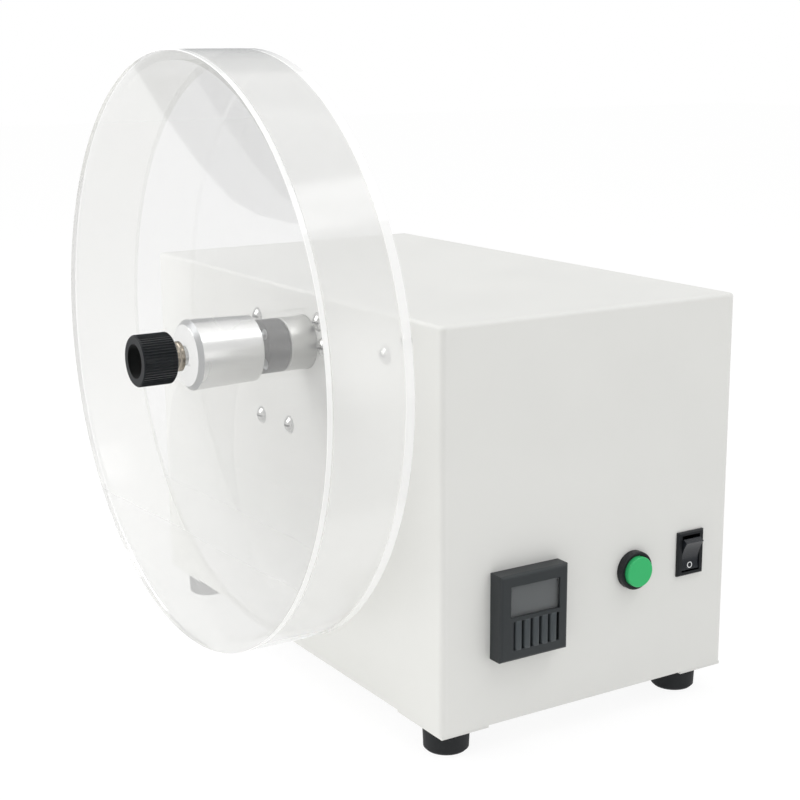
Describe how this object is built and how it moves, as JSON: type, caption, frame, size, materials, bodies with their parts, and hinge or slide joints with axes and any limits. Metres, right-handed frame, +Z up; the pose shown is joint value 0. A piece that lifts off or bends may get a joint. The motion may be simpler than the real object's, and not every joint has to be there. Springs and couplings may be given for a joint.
{
  "type": "tablet friability tester",
  "caption": "Bench tester that tumbles tablets in a clear drum with a curved scoop, on a spindle at the side of a steel housing with counter, start button and switch",
  "frame": {"origin": "middle of the whole tester's footprint, on the table under its feet", "axes": "+X to the right as seen from the front panel, +Y to the back, +Z up; the drum's axis runs along X on the left side"},
  "size_m": [0.275, 0.338, 0.339],
  "materials": {
    "painted_steel": "powder coat, fine satin, warm light grey",
    "zinc_steel": "zinc plated, dull bright",
    "bright_steel": "bright turned and polished",
    "black_steel": "black finish",
    "satin_aluminium": "fine turned, satin",
    "polished_aluminium": "turned and polished",
    "grey_anodised": "dark grey anodised",
    "nickel": "nickel plated, bright",
    "clear_acrylic": "clear, polished faces and edges",
    "black_knob_plastic": "moulded, satin",
    "dark_grey_plastic": "moulded, fine satin",
    "black_plastic": "moulded, satin",
    "gloss_black_plastic": "moulded, half gloss",
    "green_plastic": "moulded, half gloss",
    "display_grey": "unlit liquid crystal panel",
    "black_rubber": "moulded, matt",
    "brass": "bright",
    "capacitor_case": "moulded, half gloss"
  },
  "bodies": {
    "housing": {"housing_shell": "painted_steel", "rear_panel": "painted_steel", "foot_plates": "painted_steel", "base_plate": "zinc_steel", "drive_bracket": "zinc_steel", "side_nuts": "zinc_steel", "foot_nuts": "zinc_steel", "bearing_circlip": "zinc_steel", "counter_clip": "zinc_steel", "foot_screws": "zinc_steel", "base_screws": "zinc_steel", "gearhead_screws": "zinc_steel", "side_screws": "bright_steel", "rear_panel_screws": "bright_steel", "inlet_screws": "bright_steel", "front_bearing": "bright_steel", "rear_bearing": "bright_steel", "drive_motor": "black_steel", "bearing_block": "satin_aluminium", "gearhead": "satin_aluminium", "counter_window": "clear_acrylic", "counter_bezel": "dark_grey_plastic", "counter_case": "dark_grey_plastic", "button_bezel": "black_plastic", "button_nut": "black_plastic", "button_contacts": "black_plastic", "switch_body": "black_plastic", "inlet_body": "black_plastic", "terminal_block": "black_plastic", "count_sensor": "black_plastic", "counter_display": "display_grey", "foot_front_left": "black_rubber", "foot_front_right": "black_rubber", "foot_rear_left": "black_rubber", "foot_rear_right": "black_rubber", "inlet_pins": "brass", "switch_terminals": "brass", "motor_capacitor": "capacitor_case"},
    "spindle": {"spindle_shaft": "bright_steel", "drive_flange": "grey_anodised", "drive_pins": "bright_steel", "grub_screws": "black_steel", "shaft_coupling": "satin_aluminium", "gearhead_shaft": "bright_steel", "count_disc": "zinc_steel"},
    "drum": {"drum_back_disc": "clear_acrylic", "drum_rim": "clear_acrylic", "drum_scoop": "clear_acrylic", "drum_hub": "polished_aluminium", "hub_screws": "zinc_steel"},
    "lid": {"drum_lid": "clear_acrylic"},
    "collar": {"clamp_collar": "nickel"},
    "knob": {"clamp_knob": "black_knob_plastic"},
    "start_button": {"start_button": "green_plastic"},
    "rocker": {"switch_rocker": "gloss_black_plastic"},
    "key_1": {"counter_key_1": "dark_grey_plastic"},
    "key_2": {"counter_key_2": "dark_grey_plastic"},
    "key_3": {"counter_key_3": "dark_grey_plastic"},
    "key_4": {"counter_key_4": "dark_grey_plastic"},
    "key_5": {"counter_key_5": "dark_grey_plastic"}
  },
  "joints": [
    {"name": "spindle_turn", "type": "hinge", "parent": "housing", "child": "spindle", "pos_m": [-0.0695, -0.01895, 0.189], "axis": [1, 0, 0], "continuous": true},
    {"name": "drum_pull", "type": "slide", "parent": "spindle", "child": "drum", "axis": [-1, 0, 0], "range_m": [0, 0.06]},
    {"name": "lid_pull", "type": "slide", "parent": "drum", "child": "lid", "axis": [-1, 0, 0], "range_m": [0, 0.06]},
    {"name": "collar_travel", "type": "slide", "parent": "lid", "child": "collar", "axis": [-1, 0, 0], "range_m": [0, 0.0045]},
    {"name": "knob_turn", "type": "hinge", "parent": "collar", "child": "knob", "pos_m": [-0.1285, -0.01895, 0.189], "axis": [-1, 0, 0], "range_deg": [0, 1081]},
    {"name": "button_press", "type": "slide", "parent": "housing", "child": "start_button", "axis": [0, 1, 0], "range_m": [0, 0.002], "stiffness_N_per_m": 500, "springref_m": -0.002},
    {"name": "rocker_tilt", "type": "hinge", "parent": "housing", "child": "rocker", "pos_m": [0.11165, -0.14708, 0.082], "axis": [-1, 0, 0], "range_deg": [0, 26]},
    {"name": "key_1_press", "type": "slide", "parent": "housing", "child": "key_1", "axis": [0, 1, 0], "range_m": [0, 0.0007], "stiffness_N_per_m": 300, "springref_m": -0.001},
    {"name": "key_2_press", "type": "slide", "parent": "housing", "child": "key_2", "axis": [0, 1, 0], "range_m": [0, 0.0007], "stiffness_N_per_m": 300, "springref_m": -0.001},
    {"name": "key_3_press", "type": "slide", "parent": "housing", "child": "key_3", "axis": [0, 1, 0], "range_m": [0, 0.0007], "stiffness_N_per_m": 300, "springref_m": -0.001},
    {"name": "key_4_press", "type": "slide", "parent": "housing", "child": "key_4", "axis": [0, 1, 0], "range_m": [0, 0.0007], "stiffness_N_per_m": 300, "springref_m": -0.001},
    {"name": "key_5_press", "type": "slide", "parent": "housing", "child": "key_5", "axis": [0, 1, 0], "range_m": [0, 0.0007], "stiffness_N_per_m": 300, "springref_m": -0.001}
  ],
  "couplings": [
    {"joint": "knob_turn", "follows": "collar_travel", "rad_per_m": 4188.8}
  ]
}
